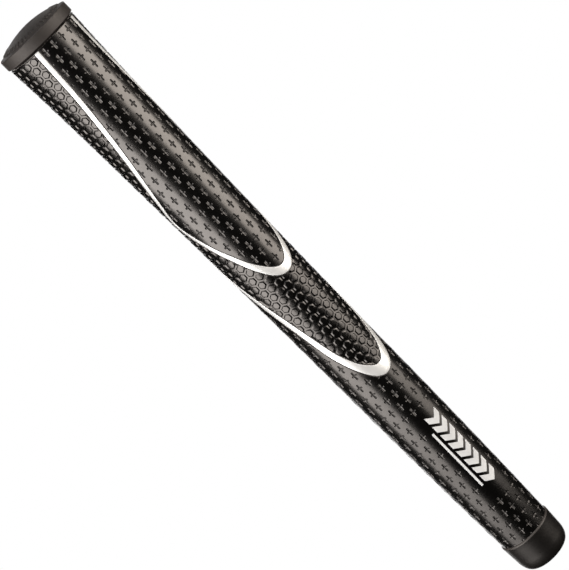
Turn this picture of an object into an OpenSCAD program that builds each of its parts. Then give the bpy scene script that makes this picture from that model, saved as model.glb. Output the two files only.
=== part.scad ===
// Oversize golf swing grip: a soft wrapped skin on a foam sleeve, closed by a
// rubber end cap at the butt and a rubber collar at the mouth.
// +Z runs up the bore towards the butt, the mouth is at Z = 0, and the middle
// of the decorated face looks along -Y.  All sizes are in millimetres.

/* [Overall] */
// Overall length from the mouth to the top of the end cap
grip_len = 277.3; // [270:0.1:285]
// Diameter of the round shaft core
core_d = 15.2; // [14.6:0.1:15.4]
// Scale on every body diameter, for a slimmer or fuller grip
body_scale = 1.0; // [0.98:0.01:1.1]

/* [Skin] */
// Thickness of the moulded outer skin
skin_t = 0.9; // [0.8:0.1:1.1]
// Thickness of the felt the skin is backed with
felt_t = 0.8; // [0.6:0.1:0.9]
// Thickness of the two silver bands laid on the skin
band_t = 0.2; // [0.12:0.02:0.3]
// Width of the joint line down the back of the skin
seam_w = 0.5; // [0.3:0.1:0.8]
// Depth of the joint line down the back of the skin
seam_depth = 0.3; // [0.2:0.05:0.5]

/* [End cap] */
// Diameter of the end cap's rim
cap_d = 30.8; // [30.4:0.1:33]
// Straight height of the rim
cap_rim_h = 4.25; // [2.5:0.05:5]
// Rise of the dome above the rim
cap_dome_h = 3.3; // [3:0.1:5]
// Height of the open groove between the skin and the rim
cap_gap = 0.65; // [0.5:0.05:1.4]
// Diameter of the plug that fills the end of the foam sleeve
plug_d = 20.4; // [18:0.1:21]
// Length of the plug
plug_len = 9; // [6:0.5:14]
// Number of holding rings on the plug
plug_rings = 2; // [1:1:2]
// Diameter of the vent through the cap
vent_d = 2.6; // [2:0.1:3]

/* [Mouth collar] */
// Length of the collar
collar_len = 14; // [12:0.5:18]
// Diameter of the collar's upper lip
collar_d = 22.7; // [22.4:0.1:24]
// Diameter of the collar where its end begins to round over
collar_end_d = 21.9; // [21:0.1:22.4]
// Thickness of rubber under the end of the foam sleeve
collar_floor = 3.5; // [2.5:0.5:5]
// Lead-in chamfer at the mouth
mouth_chamfer = 0.4; // [0.3:0.1:0.6]
// Diameter of the flat ring at the mouth
mouth_face_d = 16.8; // [16.7:0.1:17.6]
// Height over which the collar's end rounds in to the mouth
mouth_round = 5.6; // [4.5:0.1:7]

/* [Mark] */
// Number of plain chevrons in the printed row
chevrons = 8; // [3:1:9]
// Distance from one chevron to the next
chevron_pitch = 4.4; // [4:0.1:5]
// Thickness of the print
print_t = 0.12; // [0.08:0.01:0.2]

/* [Hidden] */
$fn = 96;

core_r = core_d / 2;
rim_z = grip_len - cap_dome_h;           // top of the rim
cap_z = rim_z - cap_rim_h;               // underside of the rim
skin_top = cap_z - cap_gap;              // where the skin and sleeve end
plug_z = skin_top - plug_len;            // underside of the plug, the shaft's stop
collar_z = collar_len;                   // top of the collar
skin_bottom = collar_z;

// Body diameters at stations along the grip: [height, diameter]
stations = [
    [0, 20.95], [14, 21.7], [28.5, 22.5], [43.5, 23.05], [63.5, 23.6], [83.5, 24.0],
    [98.5, 24.1], [114.5, 24.15], [132.5, 24.4], [151.5, 24.85], [170.5, 25.3],
    [188.5, 25.9], [206.5, 26.5], [224.5, 27.1], [238.5, 27.7], [252.5, 28.5],
    [260.5, 29.1], [269.5, 30.0], [277.5, 31.0]
];

// Smooth curve through the stations (Catmull-Rom on uneven spacing)
function slope(i) = let (n = len(stations) - 1, a = max(0, i - 1), b = min(n, i + 1))
    (stations[b][1] - stations[a][1]) / (stations[b][0] - stations[a][0]);
function span(z, i = 0) = (i >= len(stations) - 2 || z < stations[i + 1][0]) ? i : span(z, i + 1);
function body_r(z) = let (
    i = span(z), h = stations[i + 1][0] - stations[i][0],
    t = (z - stations[i][0]) / h, t2 = t * t, t3 = t2 * t)
    body_scale / 2 * ((2 * t3 - 3 * t2 + 1) * stations[i][1] + (t3 - 2 * t2 + t) * h * slope(i)
    + (-2 * t3 + 3 * t2) * stations[i + 1][1] + (t3 - t2) * h * slope(i + 1));

// Heights at which the body's outline is drawn
body_steps = 30;
function body_zs(z0, z1) = [for (i = [0:body_steps]) z0 + (z1 - z0) * i / body_steps];

// A sleeve between two offsets below the body's surface
module sleeve(z0, z1, outer, inner) {
    zs = body_zs(z0, z1);
    rotate_extrude()
        polygon(concat(
            [for (z = zs) [body_r(z) - outer, z]],
            [for (i = [len(zs) - 1:-1:0]) [body_r(zs[i]) - inner, zs[i]]]));
}

// The middle line of each band on the flat sheet, as [distance round the
// body from the front line, height, band width].  One half; the other mirrors.
upper_half = [
    [0, 153, 3.5], [2.4, 153.6, 3.3], [4.6, 155.4, 2.95], [6.8, 158.3, 2.5],
    [9.6, 163.1, 2], [11.9, 168.1, 1.75], [14.4, 173.1, 1.6], [16.7, 178.1, 1.45],
    [19, 183.2, 1.35], [20.8, 187.8, 1.2], [21.3, 191.4, 1.2], [20.7, 195, 1.3],
    [19.4, 199, 1.45], [17.1, 208.5, 1.65], [15, 218.5, 1.75], [13.4, 228.5, 1.8],
    [12.2, 238.5, 1.82], [11.3, 248.5, 1.8], [10.85, 258.5, 1.78], [10.6, 269, 1.78]
];
lower_half = [
    [0, 100.7, 5], [2.2, 101.3, 4.4], [4.2, 103.1, 3.7], [6, 105.6, 3.1],
    [7.6, 108.4, 2.7], [9.6, 113.3, 2.5], [11.2, 118.4, 2.45], [13.4, 128.5, 2.3],
    [15.8, 138.5, 2.05], [18.7, 148.5, 1.8], [22, 158.5, 1.55], [25.6, 168.5, 1.4],
    [29.6, 178.5, 1.3], [33.6, 188.5, 1.3], [37.5, 198.5, 1.3], [41.4, 208.5, 1.3]
];

function mirrored(half) = concat(
    [for (i = [len(half) - 1:-1:1]) [-half[i][0], half[i][1], half[i][2]]], half);
// Smooth curve through a list of points
function crom(p, i, t) = let (
    n = len(p) - 1, a = p[max(0, i - 1)], b = p[i], c = p[min(n, i + 1)], d = p[min(n, i + 2)])
    0.5 * (2 * b + (c - a) * t + (2 * a - 5 * b + 4 * c - d) * t * t + (3 * b - a - 3 * c + d) * t * t * t);
function smooth(p, k) = concat(
    [for (i = [0:len(p) - 2]) for (j = [0:k - 1]) crom(p, i, j / k)], [p[len(p) - 1]]);
// A point on the sheet, wrapped on the body, at an offset above its surface
function wrap(u, z, up) = let (r = body_r(z), a = -90 + u / r * 180 / PI)
    [(r + up) * cos(a), (r + up) * sin(a), z];
function across(p, i) = let (
    n = len(p) - 1, a = p[max(0, i - 1)], b = p[min(n, i + 1)],
    d = [b[0] - a[0], b[1] - a[1]], l = norm(d)) [-d[1] / l, d[0] / l];

// A ribbon that follows the body: low and high are offsets from its surface
module ribbon(path, low, high, segs = 3) {
    n = len(path);
    ring = 2 * (segs + 1);
    pts = [for (i = [0:n - 1]) let (q = path[i], s = across(path, i), w = q[2])
        for (j = [0:ring - 1]) let (
            top = j > segs, k = top ? ring - 1 - j : j, o = (k / segs - 0.5) * w)
            wrap(q[0] + s[0] * o, min(skin_top - 0.02, q[1] + s[1] * o), top ? high : low)];
    sides = [for (i = [0:n - 2]) for (j = [0:ring - 1])
        let (a = i * ring + j, b = i * ring + (j + 1) % ring, c = b + ring, d = a + ring)
        for (f = [[a, b, c], [a, c, d]]) f];
    start = [for (k = [0:segs - 1]) let (a = k, b = k + 1, c = ring - 2 - k, d = ring - 1 - k)
        for (f = [[a, c, b], [a, d, c]]) f];
    o = (n - 1) * ring;
    finish = [for (k = [0:segs - 1]) let (a = o + k, b = o + k + 1, c = o + ring - 2 - k, d = o + ring - 1 - k)
        for (f = [[a, b, c], [a, c, d]]) f];
    polyhedron(points = pts, faces = concat(sides, start, finish), convexity = 10);
}

upper_path = smooth(mirrored(upper_half), 3);
// The lower band stops just short of the joint line at the back
lower_path = [for (q = smooth(mirrored(lower_half), 3))
    if (abs(q[0]) < PI * body_r(q[1]) - seam_w / 2 - 0.9) q];

// Domed rubber cap: rim, neck, plug with holding rings, and a vent
module cap_outline() {
    r = cap_d / 2;
    edge = 0.6;
    dome_r = ((r - edge) * (r - edge) + cap_dome_h * cap_dome_h) / (2 * cap_dome_h);
    dome_a = asin((r - edge) / dome_r);
    polygon(concat(
        [[vent_d / 2, plug_z], [plug_d / 2 - 0.6, plug_z], [plug_d / 2, plug_z + 0.6]],
        [for (i = [1:plug_rings]) let (z = plug_z + plug_len * i / (plug_rings + 1))
            for (p = [[0, -0.8], [0.5, -0.3], [0.5, 0.3], [0, 0.8]]) [plug_d / 2 + p[0], z + p[1]]],
        [[plug_d / 2, skin_top], [13.4, skin_top], [13.4, cap_z], [r - 0.4, cap_z], [r, cap_z + 0.4]],
        [for (i = [0:4]) [r - edge + edge * cos(i * 14), rim_z - edge + edge * sin(i * 14)]],
        [for (i = [1:13]) let (a = dome_a * (1 - i / 14)) [dome_r * sin(a), grip_len - dome_r * (1 - cos(a))]],
        [[vent_d / 2 + 0.4, grip_len - 0.02], [vent_d / 2, grip_len - 0.5]]));
}
module end_cap() {
    color([0.16, 0.15, 0.15]) rotate_extrude() cap_outline();
}

// Foam sleeve with the shaft bore and the seat for the cap's plug
module foam_sleeve() {
    zs = body_zs(collar_z, skin_top);
    low_r = body_r(collar_z) - skin_t - felt_t;
    color([0.33, 0.33, 0.35]) rotate_extrude()
        polygon(concat(
            [[core_r, collar_floor], [low_r, collar_floor]],
            [for (z = zs) [body_r(z) - skin_t - felt_t, z]],
            [[plug_d / 2, skin_top]],
            [for (i = [plug_rings:-1:1]) let (z = plug_z + plug_len * i / (plug_rings + 1))
                for (p = [[0, 0.8], [0.5, 0.3], [0.5, -0.3], [0, -0.8]]) [plug_d / 2 + p[0], z + p[1]]],
            [[plug_d / 2, plug_z + 0.6], [plug_d / 2 - 0.6, plug_z], [core_r, plug_z]]));
}

// Felt that backs the skin
module felt_backing() {
    color([0.62, 0.60, 0.56]) sleeve(skin_bottom, skin_top, skin_t, skin_t + felt_t);
}

// Moulded skin: one sheet, wrapped and joined down the back
module outer_skin() {
    color([0.07, 0.065, 0.06]) difference() {
        sleeve(skin_bottom, skin_top, 0, skin_t);
        joint_line();
    }
}
// Thin wedge that cuts the joint line to its depth
module joint_line() {
    n = 12;
    zs = [for (i = [0:n]) skin_bottom - 1 + (skin_top - skin_bottom + 2) * i / n];
    rotate([90, 0, 90]) translate([0, 0, -seam_w / 2]) linear_extrude(seam_w)
        polygon(concat(
            [for (z = zs) [body_r(z) - seam_depth, z]],
            [[30, zs[n]], [30, zs[0]]]));
}

// Silver bands that edge the two textures, laid on the skin
module upper_band() {
    color([0.86, 0.86, 0.84]) ribbon(upper_path, 0, band_t);
}
module lower_band() {
    color([0.86, 0.86, 0.84]) ribbon(lower_path, 0, band_t);
}

// Rubber collar that holds the mouth end together
module mouth_collar() {
    seat_r = body_r(collar_z) - skin_t - felt_t;
    a = collar_end_d / 2;
    f = mouth_face_d / 2;
    color([0.11, 0.105, 0.10]) rotate_extrude()
        polygon(concat(
            [[core_r + mouth_chamfer, 0]],
            [for (i = [0:10]) let (q = 9 * i) [f + (a - f) * sin(q), mouth_round * (1 - cos(q))]],
            [[collar_d / 2, collar_z - 0.5], [collar_d / 2 - 0.15, collar_z - 0.12],
             [collar_d / 2 - 0.4, collar_z], [seat_r, collar_z], [seat_r, collar_floor],
             [core_r, collar_floor], [core_r, mouth_chamfer]]));
}

// Thin shell over the skin that prints are cut from
module print_shell(z0, z1) {
    rotate_extrude() polygon(concat(
        [for (i = [0:8]) let (z = z0 + (z1 - z0) * i / 8) [body_r(z), z]],
        [for (i = [8:-1:0]) let (z = z0 + (z1 - z0) * i / 8) [body_r(z) + print_t, z]]));
}
chev_low = 39.5;
chev_h = 6.4;
chev_t = 3.0;
chev_point = 2.6;
// Row of plain chevrons that point to the mouth, each a separate print
module printed_chevrons() {
    color([0.93, 0.93, 0.91])
        for (i = [0:chevrons - 1]) intersection() {
            print_shell(chev_low + i * chevron_pitch - 3, chev_low + i * chevron_pitch + 7);
            translate([0, 0, chev_low + i * chevron_pitch]) rotate([90, 0, 0]) linear_extrude(20)
                polygon([[0, 0], [chev_h / 2, chev_point], [chev_h / 2, chev_point + chev_t],
                         [0, chev_t], [-chev_h / 2, chev_point + chev_t], [-chev_h / 2, chev_point]]);
        }
}
// Thin printed rule beside the chevrons
module printed_rule() {
    color([0.93, 0.93, 0.91]) intersection() {
        print_shell(38.5, 73.5);
        translate([-5.3, 0, 41.5]) rotate([90, 0, 0]) linear_extrude(20) square([0.9, 28]);
    }
}

end_cap();
foam_sleeve();
felt_backing();
outer_skin();
upper_band();
lower_band();
mouth_collar();
printed_chevrons();
printed_rule();
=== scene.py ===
import math

import bpy
import numpy as np
from mathutils import Matrix, Vector
from mathutils.geometry import delaunay_2d_cdt


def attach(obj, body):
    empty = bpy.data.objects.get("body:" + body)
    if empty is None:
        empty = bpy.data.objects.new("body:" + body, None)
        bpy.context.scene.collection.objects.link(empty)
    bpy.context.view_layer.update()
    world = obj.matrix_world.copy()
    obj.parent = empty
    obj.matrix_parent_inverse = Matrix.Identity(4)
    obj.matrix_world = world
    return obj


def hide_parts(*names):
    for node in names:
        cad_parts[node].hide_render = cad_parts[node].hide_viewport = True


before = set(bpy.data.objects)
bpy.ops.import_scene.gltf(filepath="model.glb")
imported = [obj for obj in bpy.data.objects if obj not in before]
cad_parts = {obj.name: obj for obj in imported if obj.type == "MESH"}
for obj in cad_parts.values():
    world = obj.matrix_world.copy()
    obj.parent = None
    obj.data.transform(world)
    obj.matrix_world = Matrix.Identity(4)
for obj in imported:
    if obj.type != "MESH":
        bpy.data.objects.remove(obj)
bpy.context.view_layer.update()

MM = 0.001
rng = np.random.default_rng(7)

# ---------------------------------------------------------------- sizes (mm)
GRIP_LEN, CAP_D, RIM_H, DOME_H, CAP_GAP = 277.3, 30.8, 4.25, 3.3, 0.65
RIM_Z = GRIP_LEN - DOME_H
CAP_Z = RIM_Z - RIM_H
SKIN_TOP = CAP_Z - CAP_GAP
PLUG_LEN, PLUG_D, VENT_D = 9.0, 20.4, 2.6
PLUG_Z = SKIN_TOP - PLUG_LEN
COLLAR_Z, COLLAR_D, COLLAR_END_D, COLLAR_FLOOR = 14.0, 22.7, 21.9, 3.5
MOUTH_FACE_D, MOUTH_ROUND, MOUTH_CHAMFER, CORE_R = 16.8, 5.6, 0.4, 7.6
SKIN_T, FELT_T = 0.9, 0.8

STATIONS = np.array([
    [0, 20.95], [14, 21.7], [28.5, 22.5], [43.5, 23.05], [63.5, 23.6], [83.5, 24.0],
    [98.5, 24.1], [114.5, 24.15], [132.5, 24.4], [151.5, 24.85], [170.5, 25.3],
    [188.5, 25.9], [206.5, 26.5], [224.5, 27.1], [238.5, 27.7], [252.5, 28.5],
    [260.5, 29.1], [269.5, 30.0], [277.5, 31.0]])


def body_r(z):
    z = np.asarray(z, float)
    zs, d = STATIONS[:, 0], STATIONS[:, 1]
    n = len(zs) - 1
    lo, hi = np.maximum(np.arange(n + 1) - 1, 0), np.minimum(np.arange(n + 1) + 1, n)
    m = (d[hi] - d[lo]) / (zs[hi] - zs[lo])
    i = np.clip(np.searchsorted(zs, z, side="right") - 1, 0, n - 1)
    h = zs[i + 1] - zs[i]
    t = (z - zs[i]) / h
    t2, t3 = t * t, t * t * t
    return 0.5 * ((2 * t3 - 3 * t2 + 1) * d[i] + (t3 - 2 * t2 + t) * h * m[i]
                  + (-2 * t3 + 3 * t2) * d[i + 1] + (t3 - t2) * h * m[i + 1])


def wrap(u, z, h):
    """The sheet's (u, z) on the body, h above its surface, in metres."""
    u, z, h = (np.asarray(x, float) for x in (u, z, h))
    r = body_r(z)
    a = u / r
    return np.stack([(r + h) * np.sin(a), -(r + h) * np.cos(a), z + 0 * r], -1) * MM


# ---------------------------------------------------------------- mesh helpers
def new_object(name, verts, faces, material, smooth=True, uvs=None):
    me = bpy.data.meshes.new(name)
    me.from_pydata([tuple(v) for v in verts], [], [tuple(int(i) for i in f) for f in faces])
    me.validate()
    me.update()
    me.polygons.foreach_set("use_smooth", np.full(len(me.polygons), smooth))
    o = bpy.data.objects.new(name, me)
    bpy.context.scene.collection.objects.link(o)
    me.materials.append(material)
    return o


def weighted_normals(o):
    """Large faces decide the shading, so a bevel keeps its own slope right up to its edges."""
    me = o.data
    n = len(me.polygons)
    normal, area = np.empty(n * 3), np.empty(n)
    loop_vert, total = np.empty(len(me.loops), np.int64), np.empty(n, np.int64)
    me.polygons.foreach_get("normal", normal)
    me.polygons.foreach_get("area", area)
    me.polygons.foreach_get("loop_total", total)
    me.loops.foreach_get("vertex_index", loop_vert)
    w = np.repeat(normal.reshape(-1, 3) * (area * 1e6)[:, None], total, axis=0)
    out = np.zeros((len(me.vertices), 3))
    np.add.at(out, loop_vert, w)
    out /= np.maximum(np.linalg.norm(out, axis=1), 1e-12)[:, None]
    me.normals_split_custom_set_from_vertices(out.tolist())
    return o


def lathe(name, profile, material, segs=128, closed=True):
    """Revolves an (r, z) outline in mm. It runs so that its outside is on the right."""
    p = np.array(profile, float)
    n = len(p)
    a = np.arange(segs) / segs * 2 * math.pi
    v = np.stack([p[None, :, 0] * np.sin(a)[:, None], -p[None, :, 0] * np.cos(a)[:, None],
                  np.repeat(p[None, :, 1], segs, 0)], -1).reshape(-1, 3) * MM
    f = []
    m = n if closed else n - 1
    for k in range(segs):
        k2 = (k + 1) % segs
        for i in range(m):
            j = (i + 1) % n
            f.append((k * n + i, k2 * n + i, k2 * n + j, k * n + j))
    return new_object(name, v, f, material)


def fillet(points, radius, steps=5):
    """Rounds the corners of an (r, z) outline. radius is one number or one per corner."""
    pts = [np.array(p, float) for p in points]
    rs = radius if hasattr(radius, "__len__") else [radius] * len(pts)
    out = []
    n = len(pts)
    for i, p in enumerate(pts):
        r = rs[i]
        a, b = pts[i - 1] - p, pts[(i + 1) % n] - p
        la, lb = np.linalg.norm(a), np.linalg.norm(b)
        if r <= 0 or la < 1e-6 or lb < 1e-6:
            out.append(p)
            continue
        a, b = a / la, b / lb
        ang = math.acos(max(-1, min(1, float(a @ b))))
        if ang > math.radians(176):
            out.append(p)
            continue
        d = min(r / math.tan(ang / 2), la * 0.49, lb * 0.49)
        p0, p1 = p + a * d, p + b * d
        for k in range(steps + 1):
            t = k / steps
            out.append((1 - t) ** 2 * p0 + 2 * t * (1 - t) * p + t * t * p1)
    return out


def clip(V, F, s):
    """Keeps the part of a mesh where the vertex field s is above 0, and cuts faces cleanly."""
    s = np.where(np.abs(s) < 1e-5, -1e-5, s)
    pos = (s > 0).tolist()
    sl = s.tolist()
    out, added, cache = [], [], {}
    base = len(V)
    for f in F:
        p = [pos[i] for i in f]
        if all(p):
            out.append(f)
            continue
        if not any(p):
            continue
        g = []
        n = len(f)
        for k in range(n):
            i, j = f[k], f[(k + 1) % n]
            if pos[i]:
                g.append(i)
            if pos[i] != pos[j]:
                key = (i, j) if i < j else (j, i)
                if key not in cache:
                    a, b = key
                    t = sl[a] / (sl[a] - sl[b])
                    added.append(V[a] + (V[b] - V[a]) * t)
                    cache[key] = base + len(added) - 1
                g.append(cache[key])
        if len(g) >= 3:
            out.append(g)
    if added:
        V = np.vstack([V, np.array(added)])
    used = np.unique(np.array([i for f in out for i in f], int))
    remap = np.full(len(V), -1)
    remap[used] = np.arange(len(used))
    rl = remap.tolist()
    return V[used], [[rl[i] for i in f] for f in out]


# ---------------------------------------------------------------- the two bands
UPPER = [
    [0, 153, 3.5], [2.4, 153.6, 3.3], [4.6, 155.4, 2.95], [6.8, 158.3, 2.5],
    [9.6, 163.1, 2], [11.9, 168.1, 1.75], [14.4, 173.1, 1.6], [16.7, 178.1, 1.45],
    [19, 183.2, 1.35], [20.8, 187.8, 1.2], [21.3, 191.4, 1.2], [20.7, 195, 1.3],
    [19.4, 199, 1.45], [17.1, 208.5, 1.65], [15, 218.5, 1.75], [13.4, 228.5, 1.8],
    [12.2, 238.5, 1.82], [11.3, 248.5, 1.8], [10.85, 258.5, 1.78], [10.6, 269, 1.78]]
LOWER = [
    [0, 100.7, 5], [2.2, 101.3, 4.4], [4.2, 103.1, 3.7], [6, 105.6, 3.1],
    [7.6, 108.4, 2.7], [9.6, 113.3, 2.5], [11.2, 118.4, 2.45], [13.4, 128.5, 2.3],
    [15.8, 138.5, 2.05], [18.7, 148.5, 1.8], [22, 158.5, 1.55], [25.6, 168.5, 1.4],
    [29.6, 178.5, 1.3], [33.6, 188.5, 1.3], [37.5, 198.5, 1.3], [41.4, 208.5, 1.3]]


def smooth_path(half, k):
    p = np.array([[-a, b, c] for a, b, c in half[:0:-1]] + half, float)
    n = len(p) - 1
    out = []
    for i in range(n):
        a, b, c, d = p[max(0, i - 1)], p[i], p[min(n, i + 1)], p[min(n, i + 2)]
        for j in range(k):
            t = j / k
            out.append(0.5 * (2 * b + (c - a) * t + (2 * a - 5 * b + 4 * c - d) * t * t
                              + (3 * b - a - 3 * c + d) * t ** 3))
    out.append(p[-1])
    return np.array(out)


UP_PATH = smooth_path(UPPER, 8)
LOW_PATH = smooth_path(LOWER, 8)
LOW_BAND = LOW_PATH[np.abs(LOW_PATH[:, 0]) < math.pi * body_r(LOW_PATH[:, 1]) - 0.85]


def extended(path, dist):
    a = path[0] + (path[0] - path[1]) / np.linalg.norm((path[0] - path[1])[:2]) * dist
    b = path[-1] + (path[-1] - path[-2]) / np.linalg.norm((path[-1] - path[-2])[:2]) * dist
    a[2], b[2] = path[0][2], path[-1][2]
    return np.vstack([a, path, b])


UP_EXT, LOW_EXT = extended(UP_PATH, 30), extended(LOW_PATH, 40)


def near(V, path):
    """Distance of each (u, z) from a path, and the path's half width there."""
    P = V[:, :2]
    best, hw = np.full(len(V), 1e9), np.zeros(len(V))
    for a, b in zip(path[:-1], path[1:]):
        d = b[:2] - a[:2]
        t = np.clip(((P - a[:2]) @ d) / (d @ d), 0, 1)
        e = np.hypot(P[:, 0] - a[0] - t * d[0], P[:, 1] - a[1] - t * d[1])
        m = e < best
        best[m] = e[m]
        hw[m] = (a[2] + (b[2] - a[2]) * t[m]) / 2
    return best, hw


def inside(V, poly):
    x, y = V[:, 0], V[:, 1]
    c = np.zeros(len(V), bool)
    q = np.roll(poly, -1, 0)
    for (x0, y0), (x1, y1) in zip(poly[:, :2], q[:, :2]):
        if y0 == y1:
            continue
        m = (y0 > y) != (y1 > y)
        c ^= m & (x < (x1 - x0) * (y - y0) / (y1 - y0) + x0)
    return c


MARGIN = 0.34  # width of the moulded channel beside each band


def field_upper(V):
    """Above 0 inside the tongue, outside the band's channel."""
    d, hw = near(V, UP_EXT)
    return np.where(inside(V, UP_EXT), d, -d) - hw - MARGIN, np.where(inside(V, UP_EXT), -d, d) - hw - MARGIN


LOW_POLY = np.vstack([LOW_EXT, [[300, 500, 0], [-300, 500, 0]]])


def field_lower(V):
    d, hw = near(V, LOW_EXT)
    up = inside(V, LOW_POLY)
    return np.where(up, d, -d) - hw - MARGIN, np.where(up, -d, d) - hw - MARGIN


# ---------------------------------------------------------------- embossed cells
def weld(V, F, digits=3):
    key = np.round(V[:, :2] * 10 ** digits).astype(np.int64)
    _, first, inv = np.unique(key, axis=0, return_index=True, return_inverse=True)
    inv = inv.reshape(-1)
    il = inv.tolist()
    G = []
    for f in F:
        g = [il[i] for i in f]
        g = [a for k, a in enumerate(g) if a != g[k - 1]]
        if len(g) >= 3:
            G.append(g)
    return V[first], G


def plus_ring(c, L, W, rho=0.55):
    pts = []
    axes = [((0, 1), (-1, 0)), ((-1, 0), (0, -1)), ((0, -1), (1, 0)), ((1, 0), (0, 1))]
    for k, (e, f) in enumerate(axes):
        ext, q = (L, W)[k % 2], rho * c
        for x, y in [(c, -c), ((c + ext) / 2, -c), (ext - q, -c), (ext, -c + q), (ext, c - q), (ext - q, c), ((c + ext) / 2, c)]:
            pts.append((e[0] * x + f[0] * y, e[1] * x + f[1] * y))
    return np.array(pts)


CELL_U, CELL_Z, LATTICE_Z = 4.05, 4.9, 267.2
PLUS = [(0.03, 1.56, 0.83, -0.235), (0.05, 1.59, 0.86, -0.228), (0.215, 1.72, 1.02, -0.128), (0.40, 1.85, 1.16, -0.013), (0.44, 1.88, 1.20, 0.0)]


def cross_template():
    A, B = CELL_U / 2, CELL_Z / 2
    rings = [plus_ring(c, L, W) for c, L, W, h in PLUS]
    V = [np.column_stack([r, np.full(len(r), spec[3])]) for r, spec in zip(rings, PLUS)]
    n = len(rings[0])
    F = [list(range(n))]
    for k in range(len(rings) - 1):
        for i in range(n):
            j = (i + 1) % n
            F.append([k * n + i, (k + 1) * n + i, (k + 1) * n + j, k * n + j][::-1])
    for f in F[1:]:
        f.reverse()
    bx = [(-A + CELL_U * i / 4, -B) for i in range(4)]
    by = [(A, -B + CELL_Z * i / 4) for i in range(4)]
    ring = bx + by + [(-x, -y) for x, y in bx] + [(-x, -y) for x, y in by]
    hole = [tuple(p) for p in rings[-1]]
    extra = [(x * A * 0.62, y * B * 0.66) for x in (-1, 1) for y in (-1, 1)] + [(x * A * 0.8, y * B * 0.3) for x in (-1, 1) for y in (-1, 1)]
    pts = ring + hole + extra
    m = len(ring)
    edges = [(i, (i + 1) % m) for i in range(m)] + [(m + i, m + (i + 1) % n) for i in range(n)]
    pv, _, pf, *_ = delaunay_2d_cdt([Vector(p) for p in pts], edges, [], 0, 1e-6)
    hole_poly = np.array(hole)
    cent = np.array([[sum(pv[i].x for i in f) / len(f), sum(pv[i].y for i in f) / len(f)] for f in pf])
    keep = ~inside(cent, hole_poly)
    base = sum(len(v) for v in V)
    V.append(np.array([[p.x, p.y, 0.0] for p in pv]))
    for ok, f in zip(keep, pf):
        if ok:
            f = list(f)
            a, b, c = (pv[i] for i in f[:3])
            if (b.x - a.x) * (c.y - a.y) - (b.y - a.y) * (c.x - a.x) < 0:
                f.reverse()
            F.append([base + i for i in f])
    V = np.vstack(V)
    # every face turns the same way round
    G = []
    for f in F:
        p = V[f, :2]
        q = np.roll(p, -1, 0)
        area = (p[:, 0] * q[:, 1] - q[:, 0] * p[:, 1]).sum()
        G.append(f if area > 0 else f[::-1])
    return weld(V, G)


HEX_PITCH = 3.6
HEX = [(1.80, -0.27, 0.0), (1.53, -0.27, 0.0), (1.48, -0.255, 0.02), (1.10, -0.014, 0.08), (1.04, 0.0, 0.10), (0.55, 0.0, 0.4)]


def hex_template():
    V, n = [], 18
    corners = [(math.cos(math.radians(90 + 60 * k)), math.sin(math.radians(90 + 60 * k))) for k in range(7)]
    base = []
    for k in range(6):
        for j in range(3):
            t = j / 3
            base.append((corners[k][0] * (1 - t) + corners[k + 1][0] * t, corners[k][1] * (1 - t) + corners[k + 1][1] * t))
    base = np.array(base)
    size = np.hypot(base[:, 0], base[:, 1])
    unit = base / size[:, None]
    for a, h, b in HEX:
        rad = a / math.cos(math.radians(30)) * size * (1 - b) + b * a * 1.045
        V.append(np.column_stack([unit * rad[:, None], np.full(n, h)]))
    F = []
    for k in range(len(HEX) - 1):
        for i in range(n):
            j = (i + 1) % n
            F.append([k * n + i, k * n + j, (k + 1) * n + j, (k + 1) * n + i])
    V.append(np.array([[0, 0, 0.0]]))
    c = len(HEX) * n
    k = len(HEX) - 1
    for i in range(n):
        F.append([k * n + i, k * n + (i + 1) % n, c])
    return np.vstack(V), F


def in_mark(u, z):
    return (u > -7.3) & (u < 4.9) & (z > 36.5) & (z < 79.0)


def tile(template, centres, scale):
    V, F = template
    n = len(V)
    big = np.concatenate([V[None, :, :] * np.array([1, 1, 1]) + 0 * np.zeros((len(centres), 1, 1))])
    big[:, :, 2] *= scale[:, None]
    big[:, :, 0] += centres[:, 0][:, None]
    big[:, :, 1] += centres[:, 1][:, None]
    faces = [[i + k * n for i in f] for k in range(len(centres)) for f in F]
    return weld(big.reshape(-1, 3), faces)


Z0, Z1 = COLLAR_Z - 0.15, SKIN_TOP - 0.03
U_MAX = 50


def cross_centres(z_lo, z_hi, u_max):
    out = []
    m0, m1 = int(math.floor((LATTICE_Z - z_hi) / CELL_Z)) - 1, int(math.ceil((LATTICE_Z - z_lo) / CELL_Z)) + 1
    for m in range(m0, m1 + 1):
        z = LATTICE_Z - CELL_Z * m
        n = int(u_max / CELL_U) + 2
        for i in range(-n, n + 1):
            out.append((CELL_U * i + (CELL_U / 2 if m % 2 else 0), z))
    return np.array(out)


def hex_centres(z_lo, z_hi, u_max):
    out, dz = [], HEX_PITCH * math.sqrt(3) / 2
    for m in range(int((z_lo - 5) / dz), int((z_hi + 5) / dz) + 1):
        n = int(u_max / HEX_PITCH) + 2
        for i in range(-n, n + 1):
            out.append((HEX_PITCH * i + (HEX_PITCH / 2 if m % 2 else 0), m * dz - 1.5))
    return np.array(out)


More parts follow.
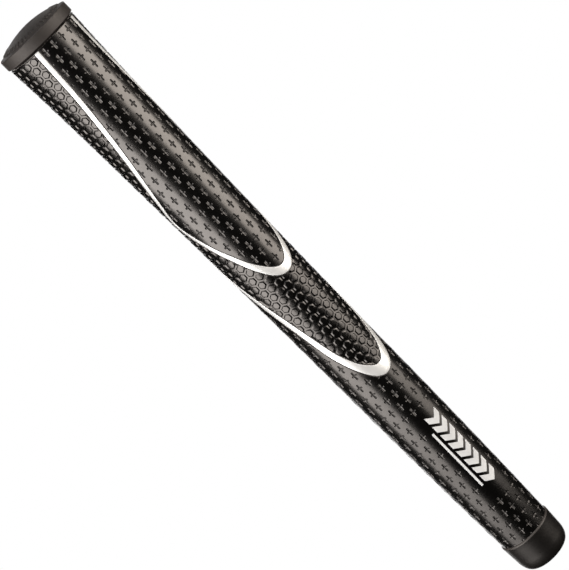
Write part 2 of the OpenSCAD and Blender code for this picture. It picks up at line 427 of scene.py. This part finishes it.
# The sheet is stretched a little as it is wrapped: height, then how far the
# pattern has moved along and round the body there.
DRIFT_TONGUE = [[150, -1.35, -0.2], [163, -1.1, -0.2], [175, -0.9, -0.17], [188, -0.55, -0.14], [200, -0.36, -0.1],
                [215, -0.18, 0], [227, 0, 0], [242, 0, 0], [253, -0.18, 0], [263, -0.36, 0], [270, -0.45, 0]]
DRIFT_HONEY = [[100, -0.6, -0.36], [115, -0.55, -0.36], [126, -0.35, -0.36], [140, -0.2, -0.36], [153, -0.35, -0.36],
               [160, -0.2, -0.3], [175, 0.5, 0.1], [190, 1.1, 0.4], [205, 1.4, 0.65], [219, 1.43, 0.67], [240, 1.43, 0.67],
               [251, 1.25, 0.67], [258.5, 0.9, 0.67], [265, 0.53, 0.67], [271, 0.3, 0.67]]
DRIFT_LOWER = [[10, 0.7, -0.25], [25, 0.5, -0.25], [43, 0, -0.25], [62, -0.19, -0.25], [77, -0.19, -0.25],
               [87, -0.19, -0.25], [98, 0.15, -0.25], [117, 0.6, -0.25], [230, 0.6, -0.25]]


def skin_piece(name, template, centres, fields, material, drift, scale=None):
    scale = np.ones(len(centres)) if scale is None else scale
    drift = np.array(drift, float)
    # cells far outside the zone are left out before any mesh is made
    keep = np.ones(len(centres), bool)
    for fn in fields:
        keep &= fn(np.column_stack([centres, np.zeros(len(centres))])) > -4.5
    V, F = tile(template, centres[keep], scale[keep])
    along, around = (np.interp(V[:, 1], drift[:, 0], drift[:, k]) for k in (1, 2))
    V[:, 1] += along
    V[:, 0] += around
    fade = np.full(len(V), 1e3)
    for fn in fields:
        fade = np.minimum(fade, fn(V))
    V[:, 2] *= np.clip((fade - 0.02) / 0.38, 0, 1)
    for fn in fields:
        V, F = clip(V, F, fn(V))
    o = weighted_normals(new_object(name, wrap(V[:, 0], V[:, 1], V[:, 2]), F, material))
    depth = o.data.attributes.new("recess", "FLOAT", "POINT")
    depth.data.foreach_set("value", np.clip(-V[:, 2] / 0.06, 0, 1).astype(np.float32))
    return o


def f_seam(V):
    return math.pi * body_r(V[:, 1]) - np.abs(V[:, 0]) - 0.36


def f_bottom(V):
    return V[:, 1] - Z0


def f_top(V):
    return Z1 - V[:, 1]


# ---------------------------------------------------------------- materials
def mat(name):
    m = bpy.data.materials.new(name)
    m.use_nodes = True
    nt = m.node_tree
    return m, nt, nt.nodes["Principled BSDF"]


def noise(nt, scale, detail=4.0, rough=0.55, stretch=None):
    tc = nt.nodes.new("ShaderNodeTexCoord")
    n = nt.nodes.new("ShaderNodeTexNoise")
    n.inputs["Scale"].default_value = scale
    n.inputs["Detail"].default_value = detail
    n.inputs["Roughness"].default_value = rough
    if stretch:
        mp = nt.nodes.new("ShaderNodeMapping")
        mp.inputs["Scale"].default_value = stretch
        nt.links.new(tc.outputs["Object"], mp.inputs["Vector"])
        nt.links.new(mp.outputs["Vector"], n.inputs["Vector"])
    else:
        nt.links.new(tc.outputs["Object"], n.inputs["Vector"])
    return n


def ramp(nt, src, stops):
    r = nt.nodes.new("ShaderNodeValToRGB")
    el = r.color_ramp.elements
    while len(el) < len(stops):
        el.new(0.5)
    for e, (p, c) in zip(el, stops):
        e.position = p
        e.color = (*c, 1) if len(c) == 3 else c
    nt.links.new(src, r.inputs["Fac"])
    return r


def to_range(nt, src, lo, hi, from_lo=0.25, from_hi=0.75):
    r = nt.nodes.new("ShaderNodeMapRange")
    r.inputs["From Min"].default_value = from_lo
    r.inputs["From Max"].default_value = from_hi
    r.inputs["To Min"].default_value = lo
    r.inputs["To Max"].default_value = hi
    nt.links.new(src, r.inputs["Value"])
    return r


def bump(nt, bsdf, layers):
    prev = None
    for src, strength, dist in layers:
        b = nt.nodes.new("ShaderNodeBump")
        b.inputs["Strength"].default_value = strength
        b.inputs["Distance"].default_value = dist
        nt.links.new(src, b.inputs["Height"])
        if prev is not None:
            nt.links.new(prev.outputs["Normal"], b.inputs["Normal"])
        prev = b
    nt.links.new(prev.outputs["Normal"], bsdf.inputs["Normal"])


def skin_material(name, dark, light, recess=0.0):
    """recess is how much rougher the engraved parts are, by the mesh's own depth attribute."""
    m, nt, b = mat(name)
    broad = noise(nt, 55, 3)
    grain = noise(nt, 2600, 3, 0.6)
    pores = nt.nodes.new("ShaderNodeTexVoronoi")
    pores.inputs["Scale"].default_value = 1700
    tc = nt.nodes.new("ShaderNodeTexCoord")
    nt.links.new(tc.outputs["Object"], pores.inputs["Vector"])
    c = ramp(nt, broad.outputs["Fac"], [(0.3, dark), (0.75, light)])
    nt.links.new(c.outputs["Color"], b.inputs["Base Color"])
    rr = to_range(nt, grain.outputs["Fac"], 0.195, 0.285)
    if recess:
        at = nt.nodes.new("ShaderNodeAttribute")
        at.attribute_name = "recess"
        add = nt.nodes.new("ShaderNodeMath")
        add.operation = "MULTIPLY_ADD"
        nt.links.new(at.outputs["Fac"], add.inputs[0])
        add.inputs[1].default_value = recess
        nt.links.new(rr.outputs["Result"], add.inputs[2])
        nt.links.new(add.outputs[0], b.inputs["Roughness"])
    else:
        nt.links.new(rr.outputs["Result"], b.inputs["Roughness"])
    b.inputs["IOR"].default_value = 1.62
    bump(nt, b, [(grain.outputs["Fac"], 0.10, 0.00003), (pores.outputs["Distance"], 0.05, 0.00003)])
    return m


def rubber_material(name, dark, light, rough_lo, rough_hi, ior=1.5):
    m, nt, b = mat(name)
    broad = noise(nt, 90, 4)
    fine = noise(nt, 1500, 5, 0.65)
    c = ramp(nt, broad.outputs["Fac"], [(0.3, dark), (0.72, light)])
    nt.links.new(c.outputs["Color"], b.inputs["Base Color"])
    rr = to_range(nt, fine.outputs["Fac"], rough_lo, rough_hi)
    nt.links.new(rr.outputs["Result"], b.inputs["Roughness"])
    b.inputs["IOR"].default_value = ior
    bump(nt, b, [(fine.outputs["Fac"], 0.22, 0.00006), (broad.outputs["Fac"], 0.1, 0.0002)])
    return m


def silver_material(name):
    m, nt, b = mat(name)
    broad = noise(nt, 70, 3)
    fleck = noise(nt, 4200, 2, 0.7)
    c = ramp(nt, broad.outputs["Fac"], [(0.3, (0.655, 0.69, 0.705)), (0.7, (0.73, 0.77, 0.79))])
    nt.links.new(c.outputs["Color"], b.inputs["Base Color"])
    rr = to_range(nt, fleck.outputs["Fac"], 0.34, 0.5)
    nt.links.new(rr.outputs["Result"], b.inputs["Roughness"])
    b.inputs["Metallic"].default_value = 0.4
    bump(nt, b, [(fleck.outputs["Fac"], 0.12, 0.00004)])
    return m


def print_material(name):
    m, nt, b = mat(name)
    broad = noise(nt, 160, 4)
    fleck = noise(nt, 5200, 2, 0.7)
    c = ramp(nt, broad.outputs["Fac"], [(0.3, (0.56, 0.595, 0.62)), (0.7, (0.66, 0.70, 0.73))])
    nt.links.new(c.outputs["Color"], b.inputs["Base Color"])
    rr = to_range(nt, fleck.outputs["Fac"], 0.38, 0.55)
    nt.links.new(rr.outputs["Result"], b.inputs["Roughness"])
    bump(nt, b, [(fleck.outputs["Fac"], 0.15, 0.00004)])
    return m


def foam_material(name):
    m, nt, b = mat(name)
    tc = nt.nodes.new("ShaderNodeTexCoord")
    cells = nt.nodes.new("ShaderNodeTexVoronoi")
    cells.inputs["Scale"].default_value = 2300
    nt.links.new(tc.outputs["Object"], cells.inputs["Vector"])
    broad = noise(nt, 120, 3)
    c = ramp(nt, broad.outputs["Fac"], [(0.3, (0.045, 0.045, 0.05)), (0.7, (0.075, 0.075, 0.08))])
    nt.links.new(c.outputs["Color"], b.inputs["Base Color"])
    rr = to_range(nt, cells.outputs["Distance"], 0.75, 0.92, 0.0, 0.6)
    nt.links.new(rr.outputs["Result"], b.inputs["Roughness"])
    bump(nt, b, [(cells.outputs["Distance"], 0.6, 0.0002)])
    return m


def felt_material(name):
    m, nt, b = mat(name)
    fib = noise(nt, 900, 6, 0.7, (1, 1, 0.22))
    broad = noise(nt, 80, 3)
    c = ramp(nt, fib.outputs["Fac"], [(0.3, (0.13, 0.12, 0.105)), (0.7, (0.24, 0.225, 0.2))])
    nt.links.new(c.outputs["Color"], b.inputs["Base Color"])
    rr = to_range(nt, broad.outputs["Fac"], 0.85, 0.97)
    nt.links.new(rr.outputs["Result"], b.inputs["Roughness"])
    b.inputs["Sheen Weight"].default_value = 0.3
    bump(nt, b, [(fib.outputs["Fac"], 0.6, 0.0003)])
    return m


M_SKIN = skin_material("skin_embossed", (0.0003, 0.00026, 0.00023), (0.0007, 0.0006, 0.0005), 0.2)
M_HEX = skin_material("skin_honeycomb", (0.0003, 0.00026, 0.00023), (0.0007, 0.0006, 0.0005))
M_CHAN = skin_material("skin_channel", (0.0006, 0.0005, 0.0005), (0.0011, 0.0010, 0.0009))
M_CAP = rubber_material("cap_rubber", (0.0120, 0.0102, 0.0094), (0.0225, 0.0196, 0.018), 0.50, 0.68)
M_COLLAR = rubber_material("collar_rubber", (0.0030, 0.0027, 0.0025), (0.0048, 0.0043, 0.004), 0.36, 0.48, 1.44)
# the collar's lip edge gets a lighter base colour from a mesh attribute: a painted highlight along the chamfer that
# catches the light from above
lip_nt = M_COLLAR.node_tree
lip_b = next(n for n in lip_nt.nodes if n.type == "BSDF_PRINCIPLED")
lip_at = lip_nt.nodes.new("ShaderNodeAttribute")
lip_at.attribute_name = "painted_lip_highlight"
lip_highlight_mix = lip_nt.nodes.new("ShaderNodeMix")
lip_highlight_mix.data_type = "RGBA"
lip_nt.links.new(lip_at.outputs["Fac"], lip_highlight_mix.inputs[0])
lip_nt.links.new(lip_b.inputs["Base Color"].links[0].from_socket, lip_highlight_mix.inputs[6])
lip_highlight_mix.inputs[7].default_value = (0.040, 0.037, 0.035, 1)
lip_nt.links.new(lip_highlight_mix.outputs[2], lip_b.inputs["Base Color"])
M_SILVER = silver_material("silver_band")
M_PRINT = print_material("white_print")
M_FOAM = foam_material("sleeve_foam")
M_FELT = felt_material("felt_backing")

# ---------------------------------------------------------------- skin
CROSS, HEXT = cross_template(), hex_template()
cc = cross_centres(Z0, Z1, 50)
hc = hex_centres(93.5, Z1, 50)
mark_scale = np.where(in_mark(cc[:, 0], cc[:, 1]), 0.0, 1.0)

skin_up = skin_piece("skin_tongue_crosses", CROSS, cc[(cc[:, 1] > 148.5) & (np.abs(cc[:, 0]) < 26)],
                     [lambda V: field_upper(V)[0], f_top], M_SKIN, DRIFT_TONGUE)
skin_hex = skin_piece("skin_honeycomb", HEXT, hc,
                      [lambda V: field_upper(V)[1], lambda V: field_lower(V)[0], f_seam, f_top], M_HEX, DRIFT_HONEY)
skin_low = skin_piece("skin_lower_crosses", CROSS, cc[cc[:, 1] < 223.5],
                      [lambda V: field_lower(V)[1], f_seam, f_bottom], M_SKIN, DRIFT_LOWER, mark_scale[cc[:, 1] < 223.5])


def across(path):
    d = np.gradient(path[:, :2], axis=0)
    d /= np.linalg.norm(d, axis=1)[:, None]
    return np.column_stack([-d[:, 1], d[:, 0]])


def strip(name, path, section, material, z_max, closed=False, cap_ends=False):
    """A strip along a path. section is [(side offset in half widths, side offset in mm, height)]."""
    s = across(path)
    n, k = len(path), len(section)
    V = []
    for (a, b, h) in section:
        off = a * path[:, 2] / 2 + b
        V.append(np.column_stack([path[:, 0] + s[:, 0] * off, path[:, 1] + s[:, 1] * off, np.full(n, h)]))
    V = np.stack(V, 1).reshape(-1, 3)
    F = []
    m = k if closed else k - 1
    for i in range(n - 1):
        for j in range(m):
            j2 = (j + 1) % k
            F.append([i * k + j, (i + 1) * k + j, (i + 1) * k + j2, i * k + j2])
    if cap_ends:
        F.append(list(range(k)))
        F.append([(n - 1) * k + j for j in range(k)][::-1])
    V[:, 1] = np.minimum(V[:, 1], z_max)
    return new_object(name, wrap(V[:, 0], V[:, 1], V[:, 2]), [f[::-1] for f in F], material)


CHANNEL = [(-1, -MARGIN - 0.10, -0.05), (-1, -MARGIN - 0.02, 0.0), (-1, -MARGIN + 0.07, -0.02), (-1, -0.16, -0.17),
           (-1, -0.04, -0.20), (-1, 0.15, -0.20), (1, -0.15, -0.20), (1, 0.04, -0.20), (1, 0.16, -0.17),
           (1, MARGIN - 0.07, -0.02), (1, MARGIN + 0.02, 0.0), (1, MARGIN + 0.10, -0.05)]
BAND = [(-1, 0, -0.20), (-1, 0, -0.04), (-1, 0.02, 0.03), (-1, 0.07, 0.065), (-1, 0.14, 0.08), (-0.5, 0, 0.11), (0, 0, 0.12),
        (0.5, 0, 0.11), (1, -0.14, 0.08), (1, -0.07, 0.065), (1, -0.02, 0.03), (1, 0, -0.04), (1, 0, -0.20)]

chan_up = strip("skin_channel_upper", UP_PATH, CHANNEL, M_CHAN, Z1 + 0.02)
chan_low = strip("skin_channel_lower", LOW_PATH, CHANNEL, M_CHAN, Z1)
band_up = strip("upper_band_fill", UP_PATH, BAND, M_SILVER, Z1 + 0.1, closed=True, cap_ends=True)
band_low = strip("lower_band_fill", LOW_BAND, BAND, M_SILVER, Z1, closed=True, cap_ends=True)

# joint line down the back: two butted edges of the sheet
zs = np.linspace(Z0, Z1, 180)
sec = [(-0.46, -0.05), (-0.37, 0.0), (-0.27, 0.0), (-0.19, -0.04), (-0.10, -0.2), (-0.04, -0.30), (0.04, -0.30),
       (0.10, -0.2), (0.19, -0.04), (0.27, 0.0), (0.37, 0.0), (0.46, -0.05)]
V = np.array([[math.pi * float(body_r(z)) + o, z, h] for z in zs for o, h in sec])
k = len(sec)
F = [[i * k + j, i * k + j + 1, (i + 1) * k + j + 1, (i + 1) * k + j] for i in range(len(zs) - 1) for j in range(k - 1)]
seam = new_object("skin_back_seam", wrap(V[:, 0], V[:, 1], V[:, 2]), F, M_CHAN)

# turned-over edge of the skin at its top end
r1 = float(body_r(Z1))
top_edge = lathe("skin_top_edge", [(r1 - SKIN_T, SKIN_TOP - 0.6), (r1 - SKIN_T, SKIN_TOP - 0.05), (r1 - 0.5, SKIN_TOP + 0.06), (r1 - 0.22, SKIN_TOP + 0.06),
                                   (r1 - 0.06, SKIN_TOP + 0.02), (r1, Z1 - 0.0), (r1 - 0.03, Z1 - 0.12)][::-1], M_CHAN, 160, closed=False)

skin_parts = [skin_up, skin_hex, skin_low, chan_up, chan_low, seam, top_edge]
for o in skin_parts:
    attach(o, "root")
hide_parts("outer_skin")
for o, node in ((band_up, "upper_band"), (band_low, "lower_band")):
    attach(o, "root")
    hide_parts(node)

# ---------------------------------------------------------------- end cap
R = CAP_D / 2


def dome_z(r):
    edge = 0.6
    dr = ((R - edge) ** 2 + DOME_H ** 2) / (2 * DOME_H)
    return GRIP_LEN - (dr - math.sqrt(dr * dr - r * r))


dome = []
for i in range(49):
    r = (R - 0.62) * (1 - i / 48) + 1.75 * (i / 48)
    z = dome_z(r)
    # shallow dished ring near the edge, and a raised lip round the vent
    z -= 0.10 * math.exp(-((r - 14.1) / 0.25) ** 2)
    z -= 0.12 * math.exp(-((r - 4.6) / 0.35) ** 2)
    dome.append((r, z))
profile = fillet([(R - 0.06, CAP_Z + 0.02), (R, CAP_Z + 0.9), (R + 0.0, RIM_Z - 0.25)], [0.2, 0.0, 0.0])
profile = [(13.4, CAP_Z), (R - 0.45, CAP_Z)] + [(float(a), float(b)) for a, b in profile]
for i in range(1, 8):
    a = math.radians(i * 11)
    profile.append((R - 0.62 + 0.62 * math.cos(a), RIM_Z - 0.25 + 0.62 * math.sin(a) * 0.72))
profile += dome[1:]
hr = VENT_D / 2
profile += [(hr + 0.30, GRIP_LEN - 0.06), (hr + 0.1, GRIP_LEN - 0.16), (hr, GRIP_LEN - 0.5), (hr, PLUG_Z + 0.2), (hr + 0.2, PLUG_Z)]
pr = PLUG_D / 2
profile += [(pr - 0.7, PLUG_Z), (pr - 0.2, PLUG_Z + 0.2), (pr, PLUG_Z + 0.7)]
for i in (1, 2):
    z = PLUG_Z + PLUG_LEN * i / 3
    profile += [(pr, z - 0.8), (pr + 0.45, z - 0.35), (pr + 0.5, z), (pr + 0.45, z + 0.35), (pr, z + 0.8)]
profile += [(pr, SKIN_TOP - 0.02), (13.4, SKIN_TOP - 0.02)]
cap = lathe("butt_cap", profile, M_CAP, 192)
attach(cap, "root")
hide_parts("end_cap")

# raised ticks round the dome, in place of lettering
tick_v, tick_f = [], []
TICKS = 44
for t in range(TICKS):
    ang = 2 * math.pi * t / TICKS
    wide = 0.75 if t % 4 else 1.3
    r_in, r_out = (11.0, 13.4)
    outline = []
    for (a, b) in [(-1, -1), (1, -1), (1, 1), (-1, 1)]:
        outline.append((a * wide / 2, (r_in + r_out) / 2 + b * (r_out - r_in) / 2))
    ring_specs = [(1.0, 0.0, -0.06), (0.94, -0.03, 0.12), (0.78, -0.1, 0.24)]
    start = len(tick_v)
    for s, inset, up in ring_specs:
        for (x, y) in outline:
            cx, cy = x * s, (r_in + r_out) / 2 + (y - (r_in + r_out) / 2) + (-inset if y < (r_in + r_out) / 2 else inset)
            X, Y = cx * math.cos(ang) - cy * math.sin(ang), cx * math.sin(ang) + cy * math.cos(ang)
            tick_v.append((X * MM, Y * MM, (dome_z(math.hypot(X, Y)) + up) * MM))
    for q in range(2):
        for j in range(4):
            j2 = (j + 1) % 4
            tick_f.append((start + q * 4 + j, start + q * 4 + j2, start + (q + 1) * 4 + j2, start + (q + 1) * 4 + j))
    tick_f.append(tuple(start + 8 + j for j in range(4)))
ticks = new_object("cap_raised_ticks", tick_v, tick_f, M_CAP, smooth=False)
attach(ticks, "root")

# ---------------------------------------------------------------- mouth collar
a, f = COLLAR_END_D / 2, MOUTH_FACE_D / 2
seat = float(body_r(COLLAR_Z)) - SKIN_T - FELT_T
prof = [(CORE_R, COLLAR_FLOOR), (CORE_R, MOUTH_CHAMFER), (CORE_R + 0.2, 0.16), (CORE_R + MOUTH_CHAMFER, 0.0)]
for i in range(25):
    q = math.radians(90 * i / 24)
    prof.append((f + (a - f) * math.sin(q), MOUTH_ROUND * (1 - math.cos(q))))
prof += [(a + (COLLAR_D / 2 - a) * s, MOUTH_ROUND + (COLLAR_Z - 0.75 - MOUTH_ROUND) * s) for s in (0.25, 0.5, 0.75, 1.0)]
cr = COLLAR_D / 2
prof += [(cr + 0.01, COLLAR_Z - 0.68), (cr - 0.03, COLLAR_Z - 0.56), (cr - 0.08, COLLAR_Z - 0.46), (cr - 0.26, COLLAR_Z - 0.20), (cr - 0.44, COLLAR_Z - 0.05), (cr - 0.50, COLLAR_Z - 0.01), (cr - 0.54, COLLAR_Z),
         (seat, COLLAR_Z), (seat, COLLAR_FLOOR)]
collar = lathe("mouth_collar_rubber", prof, M_COLLAR, 160)
# the lip's edge is painted lighter than the rest: a painted highlight where its chamfer catches the light from above
painted_lip_highlight = collar.data.attributes.new("painted_lip_highlight", "FLOAT", "POINT")
painted_lip_highlight.data.foreach_set("value", np.tile([1.0 if z > COLLAR_Z - 0.6 and r > cr - 0.5 else 0.0 for r, z in prof], 160).astype(np.float32))
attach(collar, "root")
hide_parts("mouth_collar")

# ---------------------------------------------------------------- printed mark
def raised_polygon(V, F, outline, up=0.13, bevel=0.12, step=0.55):
    """Adds a print with a bevelled edge: outline is a counter-clockwise (u, z) polygon."""
    pts = []
    n = len(outline)
    for i in range(n):
        p, q = np.array(outline[i], float), np.array(outline[(i + 1) % n], float)
        k = max(1, int(np.linalg.norm(q - p) / step))
        pts += [p + (q - p) * j / k for j in range(k)]
    pts = np.array(pts)
    m = len(pts)
    d = np.roll(pts, -1, 0) - np.roll(pts, 1, 0)
    d /= np.linalg.norm(d, axis=1)[:, None]
    nrm = np.column_stack([-d[:, 1], d[:, 0]])
    inner = pts + nrm * bevel
    start = len(V)
    for ring, h in ((pts, -0.03), (pts + nrm * 0.03, up * 0.75), (inner, up)):
        V.extend([(x, z, h) for x, z in ring])
    for k in range(2):
        for i in range(m):
            j = (i + 1) % m
            F.append([start + k * m + i, start + k * m + j, start + (k + 1) * m + j, start + (k + 1) * m + i])
    edges = [(i, (i + 1) % m) for i in range(m)]
    pv, _, pf, *_ = delaunay_2d_cdt([Vector(p) for p in inner], edges, [], 1, 1e-6)
    base = len(V)
    V.extend([(p.x, p.y, up) for p in pv])
    for t in pf:
        t = list(t)
        A, B, C = (pv[i] for i in t[:3])
        if (B.x - A.x) * (C.y - A.y) - (B.y - A.y) * (C.x - A.x) < 0:
            t.reverse()
        F.append([base + i for i in t])


CHEV = dict(n=8, pitch=4.4, low=39.5, h=6.4, t=3.0, point=2.6)
V, F = [], []
for i in range(CHEV["n"]):
    z = CHEV["low"] + i * CHEV["pitch"]
    hw, tt, pt = CHEV["h"] / 2, CHEV["t"], CHEV["point"]
    raised_polygon(V, F, [(0, z), (hw, z + pt), (hw, z + pt + tt), (0, z + tt), (-hw, z + pt + tt), (-hw, z + pt)])
V = np.array(V)
marks = new_object("printed_chevron_row", wrap(V[:, 0], V[:, 1], V[:, 2]), F, M_PRINT, smooth=False)
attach(marks, "root")
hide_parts("printed_chevrons")
V, F = [], []
raised_polygon(V, F, [(-5.3, 41.5), (-4.4, 41.5), (-4.4, 69.5), (-5.3, 69.5)])
V = np.array(V)
rule = new_object("printed_thin_rule", wrap(V[:, 0], V[:, 1], V[:, 2]), F, M_PRINT, smooth=False)
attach(rule, "root")
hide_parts("printed_rule")

# ---------------------------------------------------------------- carried-over CAD nodes
for node, m in (("foam_sleeve", M_FOAM), ("felt_backing", M_FELT)):
    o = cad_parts[node]
    o.data.materials.clear()
    o.data.materials.append(m)

# ---------------------------------------------------------------- stage
def emission(name, colour, strength):
    m = bpy.data.materials.new(name)
    m.use_nodes = True
    nt = m.node_tree
    nt.nodes.clear()
    e = nt.nodes.new("ShaderNodeEmission")
    e.inputs["Color"].default_value = (*colour, 1)
    e.inputs["Strength"].default_value = strength
    out = nt.nodes.new("ShaderNodeOutputMaterial")
    nt.links.new(e.outputs[0], out.inputs["Surface"])
    return m


M_PALE = emission("pale_stage", (1.0, 1.0, 1.0), 1.0)
seg = 96
fv = [(0, 0, -0.0006)] + [(8 * math.cos(2 * math.pi * i / seg), 8 * math.sin(2 * math.pi * i / seg), -0.0006) for i in range(seg)]
floor = new_object("stage_floor", fv, [(0, 1 + i, 1 + (i + 1) % seg) for i in range(seg)], M_PALE, smooth=False)
bv, bf = [], []
for j in range(13):
    e = math.radians(90 * j / 12)
    for i in range(seg):
        t = 2 * math.pi * i / seg
        bv.append((8 * math.cos(e) * math.cos(t), 8 * math.cos(e) * math.sin(t), -0.0006 + 8 * math.sin(e)))
for j in range(12):
    for i in range(seg):
        i2 = (i + 1) % seg
        bf.append((j * seg + i, (j + 1) * seg + i, (j + 1) * seg + i2, j * seg + i2))
backdrop = new_object("stage_backdrop", bv, bf, M_PALE)
for o in (floor, backdrop):
    o.visible_glossy = False
    o.visible_diffuse = False
    o.visible_shadow = False
    o.visible_transmission = False
    o.visible_volume_scatter = False

# ---------------------------------------------------------------- light
TURN = -25.2  # the decorated face is turned this far from the camera
AIM = Vector((0, 0, 0.14))


def direction(azimuth, elevation):
    a, e = math.radians(azimuth + TURN), math.radians(elevation)
    return Vector((math.sin(a) * math.cos(e), -math.cos(a) * math.cos(e), math.sin(e)))


def softbox(name, azimuth, elevation, distance, width, height, radiance, colour=(1.0, 0.945, 0.91), roll=0.0):
    ld = bpy.data.lights.new(name, "AREA")
    ld.shape = "RECTANGLE"
    ld.size, ld.size_y = width, height
    ld.color = colour
    ld.energy = radiance * math.pi * width * height  # a lambertian panel of that radiance
    o = bpy.data.objects.new(name, ld)
    bpy.context.scene.collection.objects.link(o)
    d = direction(azimuth, elevation)
    o.location = AIM + d * distance
    z = d
    up = Vector((0, 0, 1))
    x = up.cross(z).normalized()
    y = z.cross(x)
    o.rotation_mode = "QUATERNION"
    o.rotation_quaternion = Matrix((x, y, z)).transposed().to_quaternion()
    o.visible_camera = False
    return o



def wall_panel(name, azimuth, half, z_lo, z_hi, radiance, colour, dist=1.144):
    """An upright panel: azimuth and half width in degrees, its ends in metres above the mouth."""
    width = 2 * dist * math.tan(math.radians(half))
    ld = bpy.data.lights.new(name, "AREA")
    ld.shape = "RECTANGLE"
    ld.size, ld.size_y = width, z_hi - z_lo
    ld.color = colour
    ld.energy = radiance * math.pi * width * (z_hi - z_lo)
    o = bpy.data.objects.new(name, ld)
    bpy.context.scene.collection.objects.link(o)
    z = direction(azimuth, 0)
    o.location = z * dist + Vector((0, 0, (z_lo + z_hi) / 2))
    x = Vector((0, 0, 1)).cross(z).normalized()
    o.rotation_mode = "QUATERNION"
    o.rotation_quaternion = Matrix((x, z.cross(x), z)).transposed().to_quaternion()
    o.visible_camera = False
    return o


WARM_R, WARM_L = (1.0, 0.895, 0.80), (1.0, 0.92, 0.86)
wall_panel("key_right_low", 68.3, 20, -0.42, 0.66, 2.65, WARM_R, dist=1.20)
wall_panel("key_right_high", 68.3, 20, -0.14, 0.62, 3.25, WARM_R)
wall_panel("key_right_edge", 64, 26, -0.30, 1.30, 0.75, WARM_R, dist=1.26)
wall_panel("key_right_upper", 70.5, 24, 0.70, 1.40, 1.3, WARM_R, dist=1.22)
wall_panel("key_left_low", -60, 26, -0.62, 0.66, 3.1, WARM_L, dist=1.20)
wall_panel("key_left_high", -60, 26, -0.24, 0.62, 2.8, WARM_L)
wall_panel("key_left_edge", -55, 31, -0.45, 1.30, 0.85, WARM_L, dist=1.26)
wall_panel("key_left_upper", -62, 28, 0.70, 1.40, 1.3, WARM_L, dist=1.22)
softbox("rim_right", 166, -4, 1.3, 0.35, 2.4, 1.6, (1.0, 0.98, 0.97))
softbox("rim_left", -166, -4, 1.3, 0.35, 2.4, 2.5, (1.0, 0.98, 0.97))
wall_panel("rim_left_low", -150, 6.5, -0.80, -0.29, 1.9, (1.0, 0.98, 0.97), dist=1.3)
softbox("top", 0, 80, 1.3, 1.0, 1.0, 2.0)
softbox("front_upper", 0, 52, 1.35, 1.3, 0.5, 1.0)

world = bpy.data.worlds.new("studio")
bpy.context.scene.world = world
world.use_nodes = True
bg = world.node_tree.nodes["Background"]
bg.inputs["Color"].default_value = (1.0, 0.97, 0.95, 1)
bg.inputs["Strength"].default_value = 0.015
bpy.context.scene.view_settings.view_transform = "Standard"
bpy.context.scene.view_settings.look = "None"

# ---------------------------------------------------------------- camera
cam_data = bpy.data.cameras.new("camera")
cam = bpy.data.objects.new("camera", cam_data)
bpy.context.scene.collection.objects.link(cam)
cam_data.sensor_fit = "AUTO"
cam_data.sensor_width = 36.0
cam_data.lens = 134.84
cam_data.clip_start, cam_data.clip_end = 0.01, 60
cam_data.dof.use_dof = False
tilt = math.radians(13.5)
fwd = Vector((0, math.cos(tilt), -math.sin(tilt)))
down = Vector((0, -math.sin(tilt), -math.cos(tilt)))
side = Vector((1, 0, 0))
right = 0.7046 * down + 0.7096 * side
up = -0.7096 * down + 0.7046 * side
turn = Matrix.Rotation(math.radians(TURN), 3, "Z")
cam.rotation_mode = "QUATERNION"
cam.rotation_quaternion = (turn @ Matrix((right, up, -fwd)).transposed()).to_quaternion()
cam.location = turn @ Vector((0.0004, -0.7537, 0.3267))
bpy.context.scene.camera = cam
